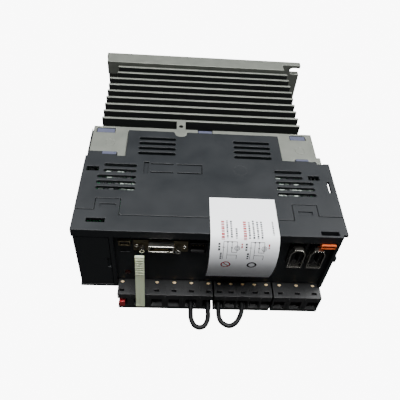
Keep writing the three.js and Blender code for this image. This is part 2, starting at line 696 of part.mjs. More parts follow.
// ---- Jumper wires, each a loop in front of its plug ---------------------------------------------
const loopTip = plugFront - LOOP_REACH + WIRE;
const LOOP_STEPS = 30;
const roundSection = Array.from({ length: LOOP_SIDES }, (_, i) => {
  const angle = (i * 2 * Math.PI) / LOOP_SIDES;
  return [WIRE * Math.cos(angle), WIRE * Math.sin(angle)];
});
function jumper(points) {
  const route = new THREE.CatmullRomCurve3(points.map(([x, y, z]) => new THREE.Vector3(x, y, z)));
  const options = { steps: LOOP_STEPS, extrudePath: route, bevelEnabled: false };
  return solid(new THREE.ExtrudeGeometry(polygon(roundSection), options));
}
const wireEnd = entryFloor - GAP;
const between = (a, b, share) => a + (b - a) * share;
const first = supply.poles[4];
const second = supply.poles[5];
const evenLoop = [
  [first, wireEnd, entryZ],
  [first, plugFront - 2, entryZ],
  [first, plugFront - 9, entryZ],
  [between(first, second, 0.05), plugFront - 12.6, entryZ],
  [between(first, second, 0.22), loopTip + 1.4, entryZ],
  [between(first, second, 0.5), loopTip, entryZ],
  [between(first, second, 0.78), loopTip + 1.4, entryZ],
  [between(first, second, 0.95), plugFront - 12.6, entryZ],
  [second, plugFront - 9, entryZ],
  [second, plugFront - 2, entryZ],
  [second, wireEnd, entryZ],
];
piece("supply_jumper", jumper(evenLoop), 0x111214, 0.4);

const third = regen.poles[0];
const fourth = regen.poles[2];
const leaningLoop = [
  [third, wireEnd, entryZ],
  [third, plugFront - 3, entryZ],
  [third, plugFront - 8, entryZ],
  [between(third, fourth, 0.05), plugFront - 12, entryZ],
  [between(third, fourth, 0.19), loopTip + 3, entryZ],
  [between(third, fourth, 0.41), loopTip + 1.6, entryZ],
  [between(third, fourth, 0.63), loopTip + 3, entryZ],
  [between(third, fourth, 0.8), plugFront - 11.6, entryZ],
  [between(third, fourth, 0.94), plugFront - 6.6, entryZ],
  [fourth, plugFront - 1.6, entryZ],
  [fourth, wireEnd, entryZ],
];
piece("regen_jumper", jumper(leaningLoop), 0x111214, 0.4);

// ---- Paper label: stuck on top, it bows out over the front edge and curls back below ----------------
const PAPER = 0.4;
const labelX = [left + 83.2, left + 124.9];
function ribbon(path, thickness) {
  const offset = path.map((point, i) => {
    const before = path[Math.max(i - 1, 0)];
    const after = path[Math.min(i + 1, path.length - 1)];
    const run = new THREE.Vector2(after[0] - before[0], after[1] - before[1]).normalize();
    return [point[0] + run.y * thickness, point[1] - run.x * thickness];
  });
  return polygon([...path, ...offset.reverse()]);
}
const labelPoints = [
  [front + 29, top + GAP],
  [front + 14, top + GAP],
  [front + 1.2, top + GAP],
  [front - 1.2, top - 0.1],
  [front - 3.2, top - 1.3],
  [front - 5.4, top - 3.9],
  [front - 7.2, top - 7.8],
  [front - 8.3, top - 12.6],
  [front - 8.6, top - 18.2],
  [front - 8, top - 24],
  [front - 6.7, top - 30],
  [front - 4.9, top - 35.6],
  [front - 3, top - 40.4],
];
const LABEL_STEPS = 36;
const labelLine = new THREE.SplineCurve(labelPoints.map(([y, z]) => new THREE.Vector2(y, z)));
const labelPath = labelLine.getPoints(LABEL_STEPS).map(({ x, y }) => [x, y]);
piece("paper_label", prism(ribbon(labelPath, PAPER), "x", labelX), 0xf1f2f3, 0.8);

// ---- Inside: boards, power module, capacitors, choke and relay ----------------------------------
const chipRows = [0, 1, 2].flatMap((row) =>
  Array.from({ length: 7 }, (_, column) => {
    const x = left + 12 + column * 21;
    const y = controlBack - 10 - row * 12;
    const height = 1.2 + ((row + column) % 3) * 1.3;
    return box([x, x + 9], [y, y + 7], [CONTROL_Z + BOARD - 0.2, CONTROL_Z + BOARD + height]);
  }),
);
const boardX = [left + WALL + 2, caseRight - WALL - 2];
const controlBoard = join(
  box(boardX, [controlFront, controlBack], [CONTROL_Z, CONTROL_Z + BOARD]),
  ...chipRows,
);
piece("control_board", controlBoard, BOARD_GREEN, 0.5);

const terminalBoardY = [bay + HEADER_DEPTH + GAP, bay + HEADER_DEPTH + GAP + BOARD];
const terminalBoard = box([left + 22, coverRight - WALL - 0.6], terminalBoardY, [5, BAY_HEIGHT - WALL - 1]);
piece("terminal_board", terminalBoard, BOARD_GREEN, 0.5);

const MODULE_HEIGHT = 15;
const moduleY = [sinkFront - GAP - MODULE_HEIGHT, sinkFront - GAP];
const powerBoardY = [moduleY[0] - GAP - BOARD, moduleY[0] - GAP];
const powerBoard = box(boardX, powerBoardY, [6, CONTROL_Z - 5]);
piece("power_board", powerBoard, BOARD_GREEN, 0.5);

const HEAD = 2.6; // screw head height
const HEAD_RADIUS = 3;
const powerModule = cut(
  box(moduleX, moduleY, moduleZ),
  ...moduleHoles.flatMap((x) => [
    rod("y", grow(moduleY, DEEP), [x, moduleScrewZ], SCREW + GAP, 12),
    rod("y", [moduleY[0] - DEEP, moduleY[1] - 4], [x, moduleScrewZ], HEAD_RADIUS + GAP, 16),
  ]),
);
piece("power_module", powerModule, 0x2e3033, 0.6);

// A pan-head screw along one axis: its head sits on the seat, and sign is the way the head faces.
function screw(axis, seat, sign, centre, shank) {
  const head = [seat + sign * GAP, seat + sign * (GAP + HEAD)].sort((a, b) => a - b);
  const body = [seat + sign * DEEP, seat - sign * shank].sort((a, b) => a - b);
  return join(rod(axis, head, centre, HEAD_RADIUS, 16), rod(axis, body, centre, SCREW, 12));
}
moduleHoles.forEach((x, i) => {
  const made = screw("y", moduleY[1] - 4, -1, [x, moduleScrewZ], 4 + GAP + SINK_WALL - 1.5);
  piece(`module_screw_${i + 1}`, made, STEEL, 0.35, 0.9);
});

const CAN = 13.5;
const canY = [terminalBoardY[1] + 1, powerBoardY[0] - GAP];
const canZ = CONTROL_Z - CAN - 3;
[left + 46, left + 76].forEach((x, i) => {
  const can = cut(
    rod("y", canY, [x, canZ], CAN, 32),
    box(around(x, CAN * 0.6), [canY[0] - DEEP, canY[0] + 0.5], around(canZ, 0.5)),
  );
  piece(`bus_capacitor_${i + 1}`, can, 0x2b3c6b, 0.4);
});

const chokeCentre = [right - 48, 33];
const choke = cut(
  rod("y", [powerBoardY[0] - GAP - 14, powerBoardY[0] - GAP], chokeCentre, 15, 32),
  rod("y", [powerBoardY[0] - 20, powerBoardY[0]], chokeCentre, 6, 20),
);
piece("line_choke", choke, 0x9a5a2c, 0.4, 0.3);
const relayY = [powerBoardY[0] - GAP - 20, powerBoardY[0] - GAP];
piece("inrush_relay", box([right - 30, right - 14], relayY, [24, 46]), 0x222a2e, 0.4);

// ---- Cooling fan at the lower end, blowing up between the fins ----------------------------------
const BORE = 18.3;
const HUB = 8.6;
const arms = [0, 1, 2].map((i) => {
  const geometry = new THREE.BoxGeometry(1.6, BORE + 1.4, 2.4);
  geometry.translate((fanX[0] + fanX[0] + 1.6) / 2, (BORE + 1.4) / 2, 0);
  geometry.rotateX((i * 2 * Math.PI) / 3 + Math.PI / 6);
  geometry.translate(0, fanY, fanZ);
  return solid(geometry);
});
const earSpan = grow([fanY - FAN / 2, fanY + FAN / 2], EAR);
const fanFrame = cut(
  join(
    cut(
      join(
        box(fanX, around(fanY, FAN / 2), [fanLow, fanLow + FAN]),
        box(fanX, earSpan, [SINK_FLOOR + GAP, SINK_FLOOR + 3.5]),
      ),
      rod("x", grow(fanX, DEEP), [fanY, fanZ], BORE, 40),
    ),
    ...arms,
    rod("x", [fanX[0], fanX[0] + 1.6], [fanY, fanZ], HUB, 24),
  ),
  ...ears.map((y) => rod("z", [0, SINK_FLOOR + 5], [earX, y], SCREW + GAP, 12)),
);
piece("fan_frame", fanFrame, BLACK, 0.55);

const BLADES = 7;
const rotorX = [fanX[0] + 2, fanX[1] - 1];
const blades = Array.from({ length: BLADES }, (_, i) => {
  const geometry = new THREE.BoxGeometry(0.9, 10, 8);
  geometry.rotateY(Math.PI / 4);
  geometry.translate((rotorX[0] + rotorX[1]) / 2, 12.4, 0);
  geometry.rotateX((i * 2 * Math.PI) / BLADES);
  geometry.translate(0, fanY, fanZ);
  return solid(geometry);
});
piece("fan_rotor", join(rod("x", rotorX, [fanY, fanZ], HUB, 28), ...blades), 0x1d1e20, 0.5);

ears.forEach((y, i) => {
  const made = screw("z", SINK_FLOOR + 3.5, 1, [earX, y], 3.5 + 3);
  piece(`fan_screw_${i + 1}`, made, STEEL, 0.35, 0.9);
});
earthY.forEach((y, i) => {
  piece(`earth_screw_${i + 1}`, screw("z", SINK_FLOOR, 1, [earthX, y], 3), 0xc7b26a, 0.35, 0.9);
});

// The frame's origin is the middle of the box's underside, measured without the jumper wires.
const foremost = leverFoot[0] - LEVER / 2;
drive.position.y = -(foremost + back) / 2;

export default drive;
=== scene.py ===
# %% [markdown]
# A servo drive is a box of power electronics that hangs on a cabinet wall. This one lies on its
# left side. The frame that is loaded here holds its true sizes, so the lesson adds what a maker
# would see and touch: rounded mouldings, a rough casting, plated sockets, wires and paper.

# %% Load the frame and keep its box
import json
import math
import random
import bmesh
import bpy
from mathutils import Matrix, Vector


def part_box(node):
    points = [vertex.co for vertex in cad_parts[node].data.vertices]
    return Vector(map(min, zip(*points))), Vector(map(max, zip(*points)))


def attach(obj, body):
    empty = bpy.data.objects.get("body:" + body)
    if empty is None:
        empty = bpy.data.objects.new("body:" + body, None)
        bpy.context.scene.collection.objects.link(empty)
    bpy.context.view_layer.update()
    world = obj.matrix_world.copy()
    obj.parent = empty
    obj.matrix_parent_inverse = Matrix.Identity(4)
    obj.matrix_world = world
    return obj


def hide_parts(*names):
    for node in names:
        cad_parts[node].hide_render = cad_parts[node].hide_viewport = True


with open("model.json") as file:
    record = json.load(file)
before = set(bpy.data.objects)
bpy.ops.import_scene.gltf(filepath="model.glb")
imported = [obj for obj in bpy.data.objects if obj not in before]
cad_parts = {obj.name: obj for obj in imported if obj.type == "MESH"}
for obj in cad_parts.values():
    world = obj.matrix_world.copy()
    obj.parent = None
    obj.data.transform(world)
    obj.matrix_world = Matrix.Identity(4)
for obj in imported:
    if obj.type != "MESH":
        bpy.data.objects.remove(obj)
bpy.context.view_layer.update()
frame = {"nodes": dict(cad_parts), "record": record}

nodes = frame["nodes"]
MM = 0.001
body_of_node = {n: body for body, held in frame["record"]["behaviour"]["bodies"].items() for n in held}
print("loaded", len(nodes), "nodes")

# %% [markdown]
# The places that most pieces are measured from: the casting's wall face and top, the casing's
# front face and top. They are read from the frame, so the pieces follow it if a size changes.

# %% Places on the drive
sink_low, sink_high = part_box("heat_sink")
cover_low, cover_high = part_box("front_cover")
LEFT = sink_low.x
RIGHT = sink_high.x
BACK = sink_high.y
FRONT = cover_low.y
TOP = cover_high.z
SINK_DEPTH = 102 * MM
SINK_FRONT = BACK - SINK_DEPTH
WIRE_RADIUS = 1.65 * MM
print("front to wall", round((BACK - FRONT) / MM, 1), "mm")

# %% [markdown]
# The camera stands in front of the drive and looks down on it steeply, a little from the left.
# Its three directions are turned into a rotation by putting them in the columns of a matrix.

# %% Camera
camera_data = bpy.data.cameras.new("camera")
camera_data.sensor_width = 36
camera_data.lens = 42.52
camera = bpy.data.objects.new("camera", camera_data)
bpy.context.scene.collection.objects.link(camera)
bpy.context.scene.camera = camera
looks_right = Vector((0.9976, -0.0137, 0.0674))
looks_up = Vector((-0.0351, 0.7414, 0.6701))
looks_back = Vector((-0.0591, -0.6709, 0.7392))
turn = Matrix((looks_right, looks_up, looks_back)).transposed().to_4x4()
camera.matrix_world = Matrix.Translation(Vector((-24.46, -265.10, 311.07)) * MM) @ turn
camera_data.clip_start = 0.01
camera_data.clip_end = 20

# %% [markdown]
# Colours are written as the hex values a designer would read off a swatch. Blender mixes light,
# so one function turns them to linear values. One more adds a shader node with its settings and
# its links, and a third starts a material from its Principled shader.

# %% Colours and shader nodes
def linear(hex_colour):
    channels = [int(hex_colour[i:i + 2], 16) / 255 for i in (1, 3, 5)]
    return [c / 12.92 if c <= 0.04045 else ((c + 0.055) / 1.055) ** 2.4 for c in channels] + [1]


def add_node(tree, kind, links=(), **settings):
    """Adds a node; settings are its inputs by name, or its own properties."""
    node = tree.nodes.new(kind)
    for name, value in settings.items():
        label = name.replace("_", " ")
        if hasattr(node, name):
            setattr(node, name, value)
        else:
            node.inputs[label].default_value = value
    for source, target in links:
        tree.links.new(source, node.inputs[target])
    return node


def new_material(name, colour, roughness, metallic=0.0, **extra):
    material = bpy.data.materials.new(name)
    material.use_nodes = True
    tree = material.node_tree
    shader = tree.nodes["Principled BSDF"]
    shader.inputs["Base Color"].default_value = linear(colour)
    shader.inputs["Roughness"].default_value = roughness
    shader.inputs["Metallic"].default_value = metallic
    for key, value in extra.items():
        shader.inputs[key.replace("_", " ")].default_value = value
    return material, tree, shader


# %% [markdown]
# Moulded plastic takes its look from the mould: a spark-eroded steel face leaves a fine matt
# grain. The real grain is about 0.1 mm, too fine to show, so it is drawn coarser. A second, slow
# noise shifts the shade slightly, as handling and flow of the melt do.

# %% A finish with grain and slow shading
def grained(name, colour, other, roughness, grain, bump, metallic=0.0, patch=18 * MM, spread=0.06, **extra):
    """grain and patch are in metres; bump is the grain's height in metres."""
    material, tree, shader = new_material(name, colour, roughness, metallic, **extra)
    place = add_node(tree, "ShaderNodeTexCoord").outputs["Object"]
    slow = add_node(tree, "ShaderNodeTexNoise", [(place, "Vector")], Scale=1 / patch, Detail=3.0)
    shade = add_node(tree, "ShaderNodeMix", data_type="RGBA")
    shade.inputs[6].default_value = linear(colour)
    shade.inputs[7].default_value = linear(other)
    tree.links.new(slow.outputs["Fac"], shade.inputs[0])
    tree.links.new(shade.outputs[2], shader.inputs["Base Color"])
    wear = add_node(tree, "ShaderNodeMapRange", [(slow.outputs["Fac"], "Value")], From_Min=0.3, From_Max=0.7,
                    To_Min=roughness - spread, To_Max=roughness + spread)
    tree.links.new(wear.outputs["Result"], shader.inputs["Roughness"])
    fine = add_node(tree, "ShaderNodeTexNoise", [(place, "Vector")], Scale=1 / grain, Detail=2.0)
    relief = add_node(tree, "ShaderNodeBump", [(fine.outputs["Fac"], "Height")], Strength=1.0, Distance=bump)
    tree.links.new(relief.outputs["Normal"], shader.inputs["Normal"])
    return material


# ABS casing: bluish charcoal with a matt, spark-eroded face.
casing_abs = grained("spark_eroded_abs", "#15181b", "#1b1e21", 0.5, 0.9 * MM, 0.012 * MM,
                     Specular_IOR_Level=0.35)
# Terminal blocks: glass-filled PBT, greyer than the casing.
terminal_pbt = grained("black_pbt", "#1a1b1c", "#232425", 0.46, 0.8 * MM, 0.010 * MM)
# Tongues deep in a socket, and the safety receptacle: black plastic, made blacker still as painted shade.
lcp_in_painted_shade = grained("socket_lcp_painted_shade", "#040405", "#070708", 0.5, 0.6 * MM, 0.004 * MM, Specular_IOR_Level=0.2)
socket_pbt = grained("socket_black_lcp", "#0c0d0e", "#141516", 0.38, 0.6 * MM, 0.006 * MM)
# Natural nylon takes up a pale, greenish yellow with age.
lever_nylon = grained("natural_nylon", "#cdd4ae", "#dce1c2", 0.42, 1.2 * MM, 0.012 * MM,
                      Subsurface_Weight=0.12)
orange_pbt = grained("orange_pbt", "#cf5523", "#df6a30", 0.38, 0.8 * MM, 0.008 * MM)
red_nylon = grained("red_nylon", "#9c1f27", "#b02a30", 0.36, 0.8 * MM, 0.008 * MM)
white_pbt = grained("white_pbt", "#dddbd0", "#e9e7dd", 0.4, 0.8 * MM, 0.006 * MM)
# A bluish grey for the painted sheen on the clips.
clip_sheen_colour = grained("bluish_grey_clip", "#45485a", "#515466", 0.30, 1.0 * MM, 0.008 * MM)
wire_pvc = grained("pvc_insulation", "#08090a", "#0e0f10", 0.5, 1.5 * MM, 0.010 * MM,
                   Specular_IOR_Level=0.25)
label_stock = grained("coated_paper", "#f3f6fb", "#fafbfd", 0.62, 0.5 * MM, 0.006 * MM)
nickel = grained("nickel_plated_steel", "#d6d4cc", "#bdbab0", 0.24, 0.7 * MM, 0.004 * MM, metallic=1.0)
# The socket's flange and the USB shell: a darker copy of the gilt plating, as painted shade.
shaded_gilt = grained("shaded_gilt", "#6f6752", "#5a523f", 0.42, 0.7 * MM, 0.006 * MM, metallic=0.8)
gilt = grained("gilt_nickel", "#d9cda6", "#b9a97c", 0.26, 0.7 * MM, 0.004 * MM, metallic=1.0)
# Brass for the contacts and earth screws, its colour lifted almost to white as a painted glint.
brass_with_painted_glint = grained("brass_with_painted_glint", "#ffe9bf", "#f2cf95", 0.3, 0.5 * MM, 0.004 * MM, metallic=0.15)
choke_copper = grained("enamelled_copper", "#a85c30", "#7c3c1e", 0.30, 0.8 * MM, 0.02 * MM, metallic=0.8)
can_pvc = grained("capacitor_sleeve", "#1c2a58", "#26366c", 0.28, 2.0 * MM, 0.01 * MM)
epoxy = grained("moulding_epoxy", "#1b1c1e", "#26272a", 0.55, 0.5 * MM, 0.010 * MM)
# Clamp springs are hardened steel, blackened by the heat.
spring_steel = grained("blackened_spring_steel", "#141518", "#1c1d20", 0.5, 0.6 * MM, 0.004 * MM,
                       metallic=0.5)
solder = grained("tinned_solder", "#c8cacc", "#a9acae", 0.35, 0.4 * MM, 0.012 * MM, metallic=1.0)
ceramic = grained("ceramic_chip", "#a8bcae", "#dfe4df", 0.5, 0.4 * MM, 0.004 * MM)
lamp_pc = grained("lamp_lens", "#2c100c", "#38160f", 0.16, 1.0 * MM, 0.002 * MM, Transmission_Weight=0.3)
window_pc = grained("smoked_window", "#160a0a", "#1d0e0e", 0.12, 2.0 * MM, 0.002 * MM)
print("finishes with grain:", len(bpy.data.materials))

# %% [markdown]
# The heat sink is die-cast aluminium, left as it comes from the die: greenish grey, faintly
# mottled, with a fine pebbled skin. The space between the fins is painted dark as shade, while
# the fin tips and the flat faces keep the bright grey. The shader finds the space between the
# fins by its place, below the tips and in front of the mounting plate.

# %% Cast aluminium
def ramp(tree, value, low, high):
    """0 at low and 1 at high, whichever is the greater, and an even change between."""
    rise = add_node(tree, "ShaderNodeMapRange", [(value, "Value")], From_Min=low, From_Max=high)
    return rise.outputs["Result"]


def cast_aluminium():
    # The third colour is painted shade, for the space between the fins.
    colour, stained, painted_gap_shade = "#84877f", "#696d67", "#303232"
    material, tree, shader = new_material("die_cast_aluminium", colour, 0.5, 0.55)
    place = add_node(tree, "ShaderNodeTexCoord").outputs["Object"]
    axes = add_node(tree, "ShaderNodeSeparateXYZ", [(place, "Vector")])
    mottle = add_node(tree, "ShaderNodeTexNoise", [(place, "Vector")], Scale=1 / (9 * MM), Detail=5.0)
    skin = add_node(tree, "ShaderNodeMix", [(mottle.outputs["Fac"], 0)], data_type="RGBA")
    skin.inputs[6].default_value = linear(colour)
    skin.inputs[7].default_value = linear(stained)
    # Painted shade: below the fin tips, in front of the plate and behind the front lip the colour turns dark.
    tip, plate, lip, fade = 1.5 * MM, 14.2 * MM, 3.6 * MM, 0.8 * MM
    below = ramp(tree, axes.outputs["Z"], TOP - tip, TOP - tip - fade)
    ahead = ramp(tree, axes.outputs["Y"], BACK - plate, BACK - plate - fade)
    behind = ramp(tree, axes.outputs["Y"], SINK_FRONT + lip, SINK_FRONT + lip + fade)
    first = add_node(tree, "ShaderNodeMath", [(below, 0), (ahead, 1)], operation="MULTIPLY")
    between = add_node(tree, "ShaderNodeMath", [(first.outputs[0], 0), (behind, 1)], operation="MULTIPLY")
    dark = add_node(tree, "ShaderNodeMix", [(between.outputs[0], 0), (skin.outputs[2], 6)], data_type="RGBA")
    dark.inputs[7].default_value = linear(painted_gap_shade)
    tree.links.new(dark.outputs[2], shader.inputs["Base Color"])
    pebbles = add_node(tree, "ShaderNodeTexNoise", [(place, "Vector")], Scale=1 / (0.8 * MM), Detail=4.0)
    relief = add_node(tree, "ShaderNodeBump", [(pebbles.outputs["Fac"], "Height")], Distance=0.05 * MM)
    tree.links.new(relief.outputs["Normal"], shader.inputs["Normal"])
    return material


casting_alloy = cast_aluminium()

# %% [markdown]
# A circuit board is green because its solder mask is. The copper tracks under the mask show as a
# paler, squared-up pattern, which a brick texture draws well enough at this size.

# %% Solder mask
def solder_mask():
    material, tree, shader = new_material("green_solder_mask", "#1d6b42", 0.3)
    place = add_node(tree, "ShaderNodeTexCoord").outputs["Object"]
    tracks = add_node(tree, "ShaderNodeTexBrick", [(place, "Vector")], Scale=1 / (4 * MM), Mortar_Size=0.06)
    tracks.inputs["Color1"].default_value = linear("#1b6940")
    tracks.inputs["Color2"].default_value = linear("#226f49")
    tracks.inputs["Mortar"].default_value = linear("#3c9a66")
    tree.links.new(tracks.outputs["Color"], shader.inputs["Base Color"])
    return material


board_mask = solder_mask()

# %% [markdown]
# Every finished piece is stored in the same way: its bmesh becomes an object at the origin, it is
# shaded smooth except across its sharp edges, and it rides on the body that it belongs to.

# %% Store a piece
def store(bm, name, body, material, angle=38, replaces=()):
    mesh = bpy.data.meshes.new(name)
    bm.to_mesh(mesh)
    bm.free()
    mesh.materials.append(material)
    mesh.shade_smooth()
    mesh.set_sharp_from_angle(angle=math.radians(angle))
    piece = bpy.data.objects.new(name, mesh)
    bpy.context.scene.collection.objects.link(piece)
    # Large faces set the direction of the light, so that a small bevel doesn't shade a flat wall.
    weighted = piece.modifiers.new("flat_faces_first", "WEIGHTED_NORMAL")
    weighted.keep_sharp = True
    weighted.weight = 100
    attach(piece, body)
    if replaces:
        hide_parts(*replaces)
    return piece


# %% [markdown]
# The first pieces are the two jumper wires, and with them the places of the plugs' poles. Each
# wire is a length of 3.3 mm insulated wire whose ends are pushed into two poles of a plug. A
# curve with one open spline is the natural form: its bevel depth is the wire's radius.

# %% Jumper wires
PLUG_PROUD = 8.5 * MM
ENTRY_DEPTH = 6 * MM
PLUG_FRONT = FRONT - PLUG_PROUD
ENTRY_FLOOR = PLUG_FRONT + ENTRY_DEPTH
ENTRY_Z = 23 * MM
supply_low, supply_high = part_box("supply_plug")
regen_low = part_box("regen_plug")[0]
motor_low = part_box("motor_plug")[0]
POWER_PITCH = 11.7 * MM
CONTROL_PITCH = 8.2 * MM


def pole_places(first, pitch, count):
    return [first + i * pitch for i in range(count)]


poles = {
    "supply": pole_places(supply_low.x + 2.8 * MM, POWER_PITCH, 6),
    "regen": pole_places(regen_low.x + 3.45 * MM, CONTROL_PITCH, 5),
    "motor": pole_places(motor_low.x + 4.9 * MM, POWER_PITCH, 3),
}
LOOP_REACH = 19.5 * MM
WIRE_CLEARANCE = 0.35 * MM
LOOP_TIP = PLUG_FRONT - LOOP_REACH + WIRE_RADIUS
WIRE_END = ENTRY_FLOOR - WIRE_CLEARANCE


def wire_route(start, end, shares):
    """shares holds (how far from start to end, y) for each point of the loop."""
    return [Vector((start + (end - start) * share, y, ENTRY_Z)) for share, y in shares]


even_loop = wire_route(poles["supply"][4], poles["supply"][5], [
    (0, WIRE_END),
    (0, PLUG_FRONT - 2 * MM),
    (0, PLUG_FRONT - 9 * MM),
    (0.05, PLUG_FRONT - 12.6 * MM),
    (0.22, LOOP_TIP + 1.4 * MM),
    (0.5, LOOP_TIP),
    (0.78, LOOP_TIP + 1.4 * MM),
    (0.95, PLUG_FRONT - 12.6 * MM),
    (1, PLUG_FRONT - 9 * MM),
    (1, PLUG_FRONT - 2 * MM),
    (1, WIRE_END),
])
leaning_loop = wire_route(poles["regen"][0], poles["regen"][2], [
    (0, WIRE_END),
    (0, PLUG_FRONT - 3 * MM),
    (0, PLUG_FRONT - 8 * MM),
    (0.05, PLUG_FRONT - 12 * MM),
    (0.19, LOOP_TIP + 3 * MM),
    (0.41, LOOP_TIP + 1.6 * MM),
    (0.63, LOOP_TIP + 3 * MM),
    (0.8, PLUG_FRONT - 11.6 * MM),
    (0.94, PLUG_FRONT - 6.6 * MM),
    (1, PLUG_FRONT - 1.6 * MM),
    (1, WIRE_END),
])


def catmull_rom(points, steps=8):
    """A smooth line through the points."""
    padded = [points[0] * 2 - points[1], *points, points[-1] * 2 - points[-2]]
    line = []
    for a, b, c, d in zip(padded, padded[1:], padded[2:], padded[3:]):
        for step in range(steps):
            t = step / steps
            line.append(0.5 * (2 * b + (c - a) * t + (2 * a - 5 * b + 4 * c - d) * t ** 2
                               + (3 * b - a - 3 * c + d) * t ** 3))
    return [*line, points[-1]]


def jumper(name, route, body, node):
    line = catmull_rom(route)
    data = bpy.data.curves.new(name, "CURVE")
    data.dimensions = "3D"
    data.bevel_depth = WIRE_RADIUS
    data.bevel_resolution = 6
    data.use_fill_caps = True
    spline = data.splines.new("POLY")
    spline.points.add(len(line) - 1)
    for point, place in zip(spline.points, line):
        point.co = (*place, 1)
    spline.use_smooth = True
    data.materials.append(wire_pvc)
    wire = bpy.data.objects.new(name, data)
    bpy.context.scene.collection.objects.link(wire)
    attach(wire, body)
    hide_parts(node)
    measured = sum((b - a).length for a, b in zip(line, line[1:]))
    print(name, "is", round(measured / MM, 1), "mm long")
    return wire


jumper("supply_jumper_wire", even_loop, "supply_plug", "supply_jumper")
jumper("regen_jumper_wire", leaning_loop, "regen_plug", "regen_jumper")

# %% [markdown]
# Moulded and cast parts have no sharp edges: the tool that makes them can't cut one, and a small
# radius is what catches the light. The frame holds each part's true shape with sharp edges. So a
# copy of the part is welded, its flat faces are joined again, and every outward edge gets a small
# bevel. The copy then stands for the frame's part.

# %% Round a part's edges
def welded(node):
    bm = bmesh.new()
    bm.from_mesh(nodes[node].data)
    bmesh.ops.remove_doubles(bm, verts=bm.verts, dist=0.002 * MM)
    bmesh.ops.dissolve_limit(bm, angle_limit=math.radians(0.6), verts=bm.verts, edges=bm.edges)
    bmesh.ops.triangulate(bm, faces=bm.faces, quad_method="BEAUTY", ngon_method="BEAUTY")
    return bm


def rounded(bm, radius, segments=2, angle=32):
    sharp = math.radians(angle)
    edges = [e for e in bm.edges if e.is_manifold and e.is_convex and e.calc_face_angle() > sharp]
    bmesh.ops.bevel(bm, geom=edges, offset=radius, offset_type="OFFSET", segments=segments, profile=0.5,
                    affect="EDGES", material=-1, clamp_overlap=False)
    return bm


# The finish of each part, the radius of its edges in millimetres, and the name of the new piece.
FINISHES = {
    "heat_sink": ("finned_casting", casting_alloy, 0.45),
    "rear_case": ("rear_housing", casing_abs, 0.3),
    "front_cover": ("front_moulding", casing_abs, 0.3),
    "display_cover": ("display_door", casing_abs, 0.3),
    "supply_plug": ("supply_terminal_plug", terminal_pbt, 0.25),
    "regen_plug": ("regen_terminal_plug", terminal_pbt, 0.25),
    "motor_plug": ("motor_terminal_plug", terminal_pbt, 0.25),
    "supply_header": ("supply_plug_header", terminal_pbt, 0.3),
    "regen_header": ("regen_plug_header", terminal_pbt, 0.3),
    "motor_header": ("motor_plug_header", terminal_pbt, 0.3),
    "pole_cap": ("red_pole_cap", red_nylon, 0.3),
    "safety_socket": ("safety_receptacle", lcp_in_painted_shade, 0.25),
    "optical_socket_1": ("optical_receptacle_1", socket_pbt, 0.25),
    "optical_socket_2": ("optical_receptacle_2", socket_pbt, 0.25),
    "encoder_socket_1_insert": ("encoder_tongue_1", lcp_in_painted_shade, 0.15),
    "encoder_socket_2_insert": ("encoder_tongue_2", lcp_in_painted_shade, 0.15),
    "motion_socket_contacts": ("motion_socket_tongue", lcp_in_painted_shade, 0.15),
    "battery_socket": ("battery_receptacle", orange_pbt, 0.25),
    # The USB shell and the motion shell take the darker gilt copy, which is painted shade.
    "usb_socket": ("usb_shell", shaded_gilt, 0.12),
    "encoder_socket_1_shell": ("encoder_shell_1", nickel, 0.18),
    "encoder_socket_2_shell": ("encoder_shell_2", nickel, 0.18),
    "motion_socket_shell": ("motion_shell", shaded_gilt, 0.18),
    "jack_post_1": ("jack_screw_1", nickel, 0.2),
    "jack_post_2": ("jack_screw_2", nickel, 0.2),
    "digit_display": ("digit_window", window_pc, 0.2),
    "axis_switch_body": ("rotary_switch_housing", terminal_pbt, 0.25),
    "axis_switch_dial": ("rotary_switch_dial", white_pbt, 0.15),
    "setting_switch_body": ("setting_switch_housing", red_nylon, 0.2),
    "charge_lamp": ("charge_lens", lamp_pc, 0.2),
    "hinge_pin": ("door_hinge_pin", nickel, 0.1),
    "power_module": ("power_module_case", epoxy, 0.5),
    "inrush_relay": ("relay_case", epoxy, 0.5),
    "bus_capacitor_1": ("capacitor_can_1", can_pvc, 0.8),
    "bus_capacitor_2": ("capacitor_can_2", can_pvc, 0.8),
    "line_choke": ("choke_winding", choke_copper, 2.0),
    "fan_frame": ("fan_housing", terminal_pbt, 0.4),
    "fan_rotor": ("fan_impeller", terminal_pbt, 0.2),
    "terminal_board": ("terminal_circuit_board", board_mask, 0.1),
    "power_board": ("power_circuit_board", board_mask, 0.1),
}
for number in range(1, 5):
    FINISHES[f"setting_slider_{number}"] = (f"slider_knob_{number}", white_pbt, 0.12)
for number in (1, 2):
    FINISHES[f"module_screw_{number}"] = (f"module_pan_screw_{number}", nickel, 0.3)
    FINISHES[f"fan_screw_{number}"] = (f"fan_pan_screw_{number}", nickel, 0.3)
    FINISHES[f"earth_screw_{number}"] = (f"earth_pan_screw_{number}", brass_with_painted_glint, 0.3)

for node, (name, finish, radius) in FINISHES.items():
    rounded_copy = rounded(welded(node), radius * MM)
    # The casing's recesses are as small as its edges, so there the faces stay flat.
    smooth_under = 8 if finish == casing_abs else 38
    store(rounded_copy, name, body_of_node[node], finish, smooth_under, [node])
print("rounded", len(FINISHES), "parts")

# %% [markdown]
# Small moulded or stamped bits are all the same job: a cube stretched to its place, with its
# edges eased. One helper gathers any number of them into one bmesh.

# %% Blocks and rods
def add_block(bm, low, high, radius=0.15 * MM, segments=2):
    low, high = Vector(low), Vector(high)
    made = bmesh.ops.create_cube(bm, size=1)["verts"]
    bmesh.ops.scale(bm, vec=high - low, verts=made)
    bmesh.ops.translate(bm, vec=(low + high) / 2, verts=made)
    edges = list({e for v in made for e in v.link_edges})
    bmesh.ops.bevel(bm, geom=edges, offset=radius, offset_type="OFFSET", segments=segments, profile=0.5,
                    affect="EDGES", material=-1)


